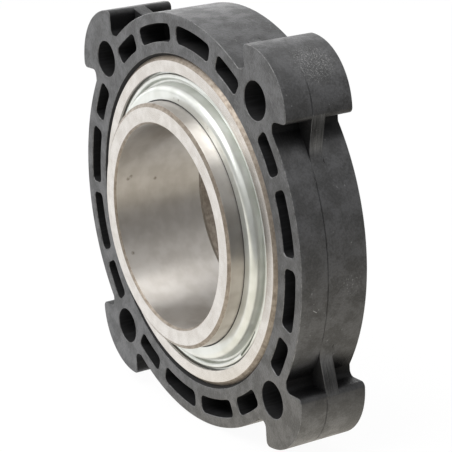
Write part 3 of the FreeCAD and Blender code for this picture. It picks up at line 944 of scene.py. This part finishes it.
def outer_walls(settings):
    """Rim, lugs and webs: the two outlines carried from face to face.

    A fine groove marks where the mould halves meet, and fades out on the upper half. The web's
    edges have two-step roundings.
    """
    full, web, held, free = housing_outlines()
    shown = np.clip(np.where(full[:, 1] > 0, np.abs(full[:, 0]) - SEAM_CLEAR, 1), 0, 1)
    groove = settings.seam_depth / MM * held * shown
    half_groove = settings.seam_width / MM / 2
    soft = settings.web_round / MM
    part = WEB_ROUND_MIDDLE * soft
    rounding = quarter(settings.edge_round / MM, -HOUSING_HALF)
    front = rounding + [(0.0, SEAM_Y - half_groove), (groove, SEAM_Y)]
    middle = [(groove + soft * free, SEAM_Y), (part * free, SEAM_Y + part + half_groove * held),
              (0.0, SEAM_Y + soft + half_groove), (0.0, -SEAM_Y - soft), (part * free, -SEAM_Y - part),
              (soft * free, -SEAM_Y)]
    rear = [(0.0, -SEAM_Y)] + [(depth, -y) for depth, y in reversed(rounding)]
    surfaces = [carried(full, front), carried(web, middle), carried(full, rear)]
    start = int(np.argmax(free > 0)) - 1
    notch = slice(start, start + NOTCH_STEPS + 1)
    wall, edge = full[notch], (web + inward(web) * (soft * free)[:, None])[notch]
    for k in range(4):
        for first, second in ((wall, edge), (swapped(wall), swapped(edge))):
            for y in (SEAM_Y, -SEAM_Y):
                surfaces.append(between(quadrant_turned(first, k), quadrant_turned(second, k), y))
    return surfaces


# Settings


def size_property(name, description, size):
    """A size that a user can change, given in mm."""
    return bpy.props.FloatProperty(name=name, description=description, default=size * MM, unit="LENGTH")


def colour_property(name, description, code):
    """A colour that a user can change, given as an sRGB hex value."""
    return bpy.props.FloatVectorProperty(name=name, description=description, subtype="COLOR", size=3,
                                         min=0.0, max=1.0, default=linear(code))


def level_property(name, description, level):
    """A brightness that a user can change."""
    return bpy.props.FloatProperty(name=name, description=description, default=level, min=0.0)


class HousingSettings(bpy.types.PropertyGroup):
    """Fine sizes of the moulding that the solids leave plain."""
    edge_round: size_property("Edge rounding", "Radius of the housing's outer edges", 0.3)
    pocket_round: size_property("Mouth rounding", "Radius at the mouths of the pockets and bolt holes", 0.3)
    web_round: size_property("Web rounding", "Radius of the web's outer edges", 0.3)
    draft: size_property("Pocket draft", "How much a pocket closes in from its mouth to its floor", 0.1)
    seam_width: size_property("Seam width", "Width of the line where the mould halves meet", 0.35)
    seam_depth: size_property("Seam depth", "Depth of the line where the mould halves meet", 0.3)
    flash: size_property("Flash", "Height of the ridge that the mould halves leave in a bolt hole", 0.08)


class FinishSettings(bpy.types.PropertyGroup):
    """Colours of the real materials."""
    plastic_dark: colour_property("Plastic, dark", "Darker patches of the nylon", "#070708")
    plastic_light: colour_property("Plastic, light", "Lighter patches of the nylon", "#333335")
    # This pale colour also paints the highlights on the rounded edges.
    plastic_wear_and_highlight: colour_property("Plastic, worn", "Scuffed and streaked skin", "#8a8a88")
    # Painted shade: these dark colours stand in for the shade in pockets, bolt holes, the seat's crevice and
    # the notches.
    cored_shade_dark: colour_property("Cored plastic, dark", "Pocket walls", "#0c0c0d")
    cored_shade_light: colour_property("Cored plastic, light", "Drag marks on the pocket walls", "#1b1b1d")
    ground_dark: colour_property("Ground steel, dark", "Darker patches of the ground steel", "#b6b1ab")
    ground_light: colour_property("Ground steel, light", "Lighter patches of the ground steel", "#c2beb9")
    skin_dark: colour_property("Unground steel, dark", "Darker part of the oxide skin", "#74695d")
    skin_light: colour_property("Unground steel, light", "Lighter part of the oxide skin", "#938a7f")
    zinc_dark: colour_property("Zinc, dark", "Darker patches of the plating", "#c3c5bf")
    zinc_light: colour_property("Zinc, light", "Lighter patches of the plating", "#d3d5d1")
    # Colour of the painted shade beside the shield's bead.
    oil: colour_property("Oil", "Green smear on the front shield", "#343b28")
    rubber: colour_property("Rubber", "Seal lips", "#1b1a19")


class StudioSettings(bpy.types.PropertyGroup):
    """The stage: floor, room and lamps. Gloss sees the floor as a lit table."""
    floor: colour_property("Floor", "Pale floor under the part", "#f4f4f4")
    backdrop: level_property("Backdrop", "Brightness of the backdrop behind the part", 2.4)
    room_front: level_property("Room, front", "Brightness of the room round the camera", 0.3)
    room_rear: level_property("Room, rear", "Brightness of the room behind the part on the right", 0.55)
    room_high: level_property("Room, high", "Brightness of the room overhead", 1.0)
    table_left: level_property("Table, left", "Brightness of the table on the left", 1.45)
    table_under: level_property("Table, middle", "Brightness of the table round the part", 1.4)
    table_behind: level_property("Table, behind", "Brightness of the table in the part's shadow", 0.8)
    table_warmth: colour_property("Table, tint", "Tint of the table round the part", "#fff9ec")
    key: level_property("Key lamp", "Brightness of the soft lamp at the front left", 1.0)
    top: level_property("Top lamp", "Brightness of the soft lamp over the front", 5.6)


class BearingSettings(bpy.types.PropertyGroup):
    """All settings of the dressed bearing."""
    housing: bpy.props.PointerProperty(type=HousingSettings)
    finish: bpy.props.PointerProperty(type=FinishSettings)
    studio: bpy.props.PointerProperty(type=StudioSettings)


# The pieces


class BEARING_OT_housing(bpy.types.Operator):
    """Make the moulded housing with its pockets, lugs, webs and seam"""
    bl_idname = "bearing.housing"
    bl_label = "Housing"

    def execute(self, context):
        settings = context.scene.bearing
        surfaces = side_faces(settings.housing, -1) + side_faces(settings.housing, 1)
        surfaces += hole_walls(settings.housing) + [seat_wall()] + outer_walls(settings.housing)
        plastics = [make_material(moulded_glass_filled_nylon, settings.finish),
                    make_material(cored_nylon_with_painted_shade, settings.finish)]
        make_piece("housing_moulding", surfaces, plastics, "housing", ["housing"])
        return {"FINISHED"}


def race(edge_r, centre_r, sign):
    """Raceway arc of (radius, y) from its front edge to its rear edge.

    It is centre + RACE_R * (sign * cos a, sin a), as far each way as where it meets edge_r.
    """
    half = math.asin(math.sqrt(RACE_R ** 2 - (edge_r - centre_r) ** 2) / RACE_R)
    a = np.linspace(-half, half, RACE_STEPS + 1)
    return np.stack([centre_r + sign * RACE_R * np.cos(a), RACE_R * np.sin(a)], -1)


def ring_profile(corners, groove):
    """Closed section of a ring: its broken corners, from the rear edge of its raceway to the front one."""
    breaks = [0] + [EDGE_BREAK] * len(corners) + [0]
    run = section([groove[-1]] + corners + [groove[0]], breaks, closed=False)
    return np.concatenate([run, groove[1:-1]])


def make_ring(name, profile, unground, body, replaced, colours):
    """A turned ring of ground steel, with the oxide skin left where unground(radius, y) holds."""
    middle = (profile + np.roll(profile, -1, 0)) / 2
    numbers = unground(middle[:, 0], middle[:, 1]).astype(int)
    steels = [make_material(ground_bearing_steel, colours), make_material(hardened_unground_steel, colours)]
    make_piece(name, [turned(profile, numbers)], steels, body, [replaced])


class BEARING_OT_inner_ring(bpy.types.Operator):
    """Turn the extended inner ring with its ground bore, chamfers and raceway"""
    bl_idname = "bearing.inner_ring"
    bl_label = "Inner ring"

    def execute(self, context):
        bore_end = -INNER_HALF + BORE_CHAMFER + BORE_L
        relief_r = BORE_R + RELIEF_DEPTH
        corners = [
            (SHOULDER_R, INNER_HALF - FACE_CHAMFER_L), (SHOULDER_R - FACE_CHAMFER, INNER_HALF),
            (relief_r, INNER_HALF), (relief_r, bore_end + RELIEF_DEPTH), (BORE_R, bore_end),
            (BORE_R, -INNER_HALF + BORE_CHAMFER), (BORE_R + BORE_CHAMFER, -INNER_HALF),
            (SHOULDER_R - FACE_CHAMFER, -INNER_HALF), (SHOULDER_R, -INNER_HALF + FACE_CHAMFER_L),
        ]

        def unground(r, y):
            """The face chamfers, the front bore chamfer and the relief at the rear of the bore."""
            return ((np.abs(y) > INNER_HALF - FACE_CHAMFER_L) & (r > SHOULDER_R - FACE_CHAMFER)
                    | (y < -INNER_HALF + BORE_CHAMFER) & (r < BORE_R + BORE_CHAMFER)
                    | (y > bore_end) & (r <= relief_r))

        profile = ring_profile(corners, race(SHOULDER_R, INNER_RACE_R + RACE_R, -1))
        make_ring("inner_ring_steel", profile, unground, "inner_ring", "inner_ring",
                  context.scene.bearing.finish)
        return {"FINISHED"}


class BEARING_OT_outer_ring(bpy.types.Operator):
    """Turn the outer ring with its ground faces, seal grooves, raceway and unground chamfers"""
    bl_idname = "bearing.outer_ring"
    bl_label = "Outer ring"

    def execute(self, context):
        groove_out = RING_HALF - SEAL_LAND_W
        groove_in = groove_out - SEAL_GROOVE_W
        groove_r = LAND_R + SEAL_GROOVE
        corners = [
            (RACE_SHOULDER_R, groove_in), (groove_r, groove_in), (groove_r, groove_out), (LAND_R, groove_out),
            (LAND_R, RING_HALF), (OUTER_R - RING_CHAMFER, RING_HALF), (OUTER_R, RING_HALF - RING_CHAMFER),
        ]
        corners += [(r, -y) for r, y in reversed(corners)]
        slack = 0.01

        def unground(r, y):
            """The outer chamfers and the seal grooves, walls included."""
            return ((np.abs(y) > RING_HALF - RING_CHAMFER) & (r > OUTER_R - RING_CHAMFER)
                    | (np.abs(y) < groove_out + slack) & (np.abs(y) > groove_in - slack)
                    & (r < groove_r + slack))

        profile = ring_profile(corners, race(RACE_SHOULDER_R, OUTER_RACE_R - RACE_R, 1))
        make_ring("outer_ring_steel", profile, unground, "housing", "outer_ring",
                  context.scene.bearing.finish)
        return {"FINISHED"}


def sheet_line():
    """Centre line of the shield's sheet, from its inner edge to its rim."""
    flat_y = SHIELD_FACE - SHEET_T / 2
    valley_y = RING_HALF - VALLEY_SUNK - SHEET_T / 2
    bead_y = RING_HALF - BEAD_SUNK - SHEET_T / 2
    rim_y = RING_HALF - SEAL_LAND_W - SEAL_GROOVE_W / 2 - SHEET_T / 2
    bead_out_r = LAND_R - BEAD_GAP - SHEET_T / 2
    bead_in_r = bead_out_r - BEAD_W
    valley_out_r = bead_in_r - SHEET_T
    valley_in_r = valley_out_r - VALLEY_W
    corners = [(SHOULDER_R + LIP_GAP + LIP_W, flat_y), (valley_in_r - WALL_LEAN, flat_y),
               (valley_in_r, valley_y), (valley_out_r, valley_y), (bead_in_r, bead_y), (bead_out_r, bead_y),
               (bead_out_r + BEAD_LEAN, rim_y), (GROOVE_R, rim_y)]
    bends = [0, SHOULDER_BEND_R, BEND_R, BEND_R, BEAD_BEND_R, BEAD_BEND_R, RIM_BEND_R, 0]
    return section(corners, bends, closed=False)


def lip_section():
    """Closed section of the rubber lip: it laps over the sheet's inner edge and behind it."""
    lip_r = SHOULDER_R + LIP_GAP
    edge_r = lip_r + LIP_W
    foot_r = edge_r + LIP_BACK_W
    back = SHIELD_FACE - SHEET_T
    corners = [(lip_r, SHIELD_FACE), (edge_r, SHIELD_FACE), (edge_r, back), (foot_r, back),
               (foot_r, back - LIP_BACK_T / 2), (edge_r, back - LIP_BACK_T), (lip_r, back - LIP_BACK_T)]
    return section(corners, [LIP_EDGE_R, 0, 0, 0, 0, LIP_EDGE_R, LIP_EDGE_R])


class BEARING_OT_shields(bpy.types.Operator):
    """Press the two shields from sheet and mould their rubber lips on"""
    bl_idname = "bearing.shields"
    bl_label = "Shields and lips"

    def execute(self, context):
        zinc = make_material(zinc_plated_sheet, context.scene.bearing.finish)
        rubber = make_material(moulded_nitrile_rubber, context.scene.bearing.finish)
        sheet = thickened(sheet_line(), SHEET_T)
        lip = lip_section()
        for side, sign in (("front", -1), ("rear", 1)):
            way = np.array([1, sign])
            make_piece(side + "_shield_sheet", [turned(sheet * way)], [zinc], "housing",
                       [side + "_shield"])
            make_piece(side + "_lip_rubber", [turned(lip * way)], [rubber], "housing",
                       [side + "_seal_lip"])
        return {"FINISHED"}


class BEARING_OT_balls(bpy.types.Operator):
    """Finish the balls, the cage halves and their rivets"""
    bl_idname = "bearing.balls"
    bl_label = "Balls and cage"

    def execute(self, context):
        ball = make_material(lapped_ball_steel, context.scene.bearing.finish)
        cage = make_material(pressed_cage_steel, context.scene.bearing.finish)
        for name, node in frame["nodes"].items():
            if name.startswith(("ball_", "cage_")):
                node.data.materials.clear()
                node.data.materials.append(ball if name.startswith("ball_") else cage)
        return {"FINISHED"}


# The stage


def make_floor(studio):
    """Wide pale floor just under the part, almost white to the camera, with the part's shadow.

    Gloss sees it as a lit table: brightest on the left, dimmer behind the part, and dark past
    its edge on the right, where the room's dark side begins.
    """
    low = CAD_BOX[0].z - FLOOR_GAP
    corners = [(x * FLOOR_HALF, y * FLOOR_HALF, low) for x, y in ((-1, -1), (1, -1), (1, 1), (-1, 1))]
    mesh = bpy.data.meshes.new("floor")
    mesh.from_pydata(corners, [], [(0, 1, 2, 3)])
    floor = new_object("floor", mesh)
    material = bpy.data.materials.new("painted_floor")
    add = start_nodes(material)
    place = add("TexCoord", output="Object")
    aside = add("VectorMath", (place, DARK_WAY), output="Value", operation="DOT_PRODUCT")
    table = graded(add, aside, *TABLE_MIDDLE, [studio.table_left] * 3,
                   [c * studio.table_under for c in studio.table_warmth])
    behind = joined(add, "MULTIPLY", add("MapRange", (aside, *TABLE_MIDDLE), **EASED),
                    add("MapRange", (add("SeparateXYZ", (place,), "Y"), *SHADOW_DEEPENS), **EASED))
    dim = [c * studio.table_behind for c in studio.table_warmth]
    shaded = add("Mix", {0: behind, 6: table, 7: dim}, **BLENDED)
    lit = graded(add, aside, *TABLE_EDGE, shaded, [studio.room_front] * 3)
    path = add("LightPath").node.outputs
    gloss = joined(add, "MAXIMUM", path["Is Glossy Ray"], path["Is Transmission Ray"])
    glow = add("Emission", {"Color": add("Mix", {0: gloss, 6: WHITE, 7: lit}, **BLENDED)})
    share = joined(add, "MAXIMUM", gloss, joined(add, "MULTIPLY", path["Is Camera Ray"], CAMERA_SHARE))
    paint = add("BsdfDiffuse", {"Color": studio.floor})
    add("OutputMaterial", {"Surface": add("MixShader", (share, paint, glow))})
    mesh.materials.append(material)


def make_room(studio):
    """Soft room light: a bright backdrop behind the part, a dim room in front, white to the camera."""
    world = bpy.data.worlds.new("studio_room")
    bpy.context.scene.world = world
    add = start_nodes(world)
    way = add("TexCoord", output="Generated")
    behind = add("VectorMath", (way, BACKDROP_WAY), output="Value", operation="DOT_PRODUCT")
    rear = add("VectorMath", (way, REAR_WAY), output="Value", operation="DOT_PRODUCT")
    horizon = joined(add, "MAXIMUM",
                     add("MapRange", (behind, *BACKDROP_RISE, studio.room_front, studio.backdrop), **EASED),
                     add("MapRange", (rear, *REAR_RISE, 0, studio.room_rear), **EASED))
    high = add("MapRange", (add("SeparateXYZ", (way,), "Z"), *HIGH_RISE), **EASED)
    level = add("Mix", {0: high, 2: horizon, 3: studio.room_high})
    strength = add("Mix", {0: add("LightPath", output="Is Camera Ray"), 2: level, 3: 1})
    add("OutputWorld", {"Surface": add("Background", {"Color": WHITE, "Strength": strength})})


def make_lamp(name, place, size, brightness):
    """Square soft lamp aimed at the part. Its power is brightness * pi * area."""
    lamp = bpy.data.lights.new(name, "AREA")
    lamp.shape = "SQUARE"
    lamp.size = size
    lamp.energy = brightness * math.pi * size ** 2
    holder = new_object(name, lamp)
    holder.location = place
    holder.rotation_mode = "QUATERNION"
    holder.rotation_quaternion = (-Vector(place)).to_track_quat("-Z", "Y")


def make_camera():
    """The camera where the photograph was taken from.

    It stands at distance * back + aside * right + above * up from the middle of the front face,
    and right, up and back are its axes after the roll.
    """
    sin_a, cos_a = math.sin(CAMERA_AZIMUTH), math.cos(CAMERA_AZIMUTH)
    sin_e, cos_e = math.sin(CAMERA_ELEVATION), math.cos(CAMERA_ELEVATION)
    back = Vector((sin_a * cos_e, -cos_a * cos_e, sin_e))
    level_right = Vector((cos_a, sin_a, 0))
    level_up = back.cross(level_right)
    right = level_right * math.cos(CAMERA_ROLL) + level_up * math.sin(CAMERA_ROLL)
    up = level_up * math.cos(CAMERA_ROLL) - level_right * math.sin(CAMERA_ROLL)
    place = back * CAMERA_DISTANCE + right * CAMERA_ASIDE + up * CAMERA_ABOVE - Vector((0, HOUSING_HALF, 0))
    lens = bpy.data.cameras.new("camera")
    lens.sensor_width = SENSOR
    lens.lens = SENSOR * CAMERA_FOCAL_PIXELS / PHOTO_PIXELS
    lens.clip_start = NEAREST_SEEN
    camera = new_object("camera", lens)
    camera.matrix_world = Matrix.Translation(place * MM) @ Matrix((right, up, back)).transposed().to_4x4()
    bpy.context.scene.camera = camera


class BEARING_OT_stage(bpy.types.Operator):
    """Set up the pale floor, the soft studio light and the camera"""
    bl_idname = "bearing.stage"
    bl_label = "Stage"

    def execute(self, context):
        studio = context.scene.bearing.studio
        make_floor(studio)
        make_room(studio)
        make_lamp("key_lamp", KEY_AT, KEY_SIZE, studio.key)
        make_lamp("top_lamp", TOP_AT, TOP_SIZE, studio.top)
        make_camera()
        context.scene.view_settings.view_transform = "Standard"
        return {"FINISHED"}


OPERATORS = (BEARING_OT_housing, BEARING_OT_inner_ring, BEARING_OT_outer_ring, BEARING_OT_shields,
             BEARING_OT_balls, BEARING_OT_stage)


class BEARING_PT_pieces(bpy.types.Panel):
    """Lists the pieces of the bearing and the stage"""
    bl_idname = "BEARING_PT_pieces"
    bl_label = "Flange bearing"
    bl_space_type = "VIEW_3D"
    bl_region_type = "UI"
    bl_category = "Bearing"

    def draw(self, context):
        for operator in OPERATORS:
            self.layout.operator(operator.bl_idname)
        settings = context.scene.bearing
        for group in (settings.housing, settings.finish, settings.studio):
            box = self.layout.box()
            for name in group.bl_rna.properties.keys():
                if name not in ("rna_type", "name"):
                    box.prop(group, name)


CLASSES = (HousingSettings, FinishSettings, StudioSettings, BearingSettings) + OPERATORS + (BEARING_PT_pieces,)


def register():
    for item in CLASSES:
        bpy.utils.register_class(item)
    bpy.types.Scene.bearing = bpy.props.PointerProperty(type=BearingSettings)


def unregister():
    del bpy.types.Scene.bearing
    for item in reversed(CLASSES):
        bpy.utils.unregister_class(item)


def main():
    register()
    bpy.ops.bearing.housing()
    bpy.ops.bearing.inner_ring()
    bpy.ops.bearing.outer_ring()
    bpy.ops.bearing.shields()
    bpy.ops.bearing.balls()
    bpy.ops.bearing.stage()


if __name__ == "__main__":
    main()
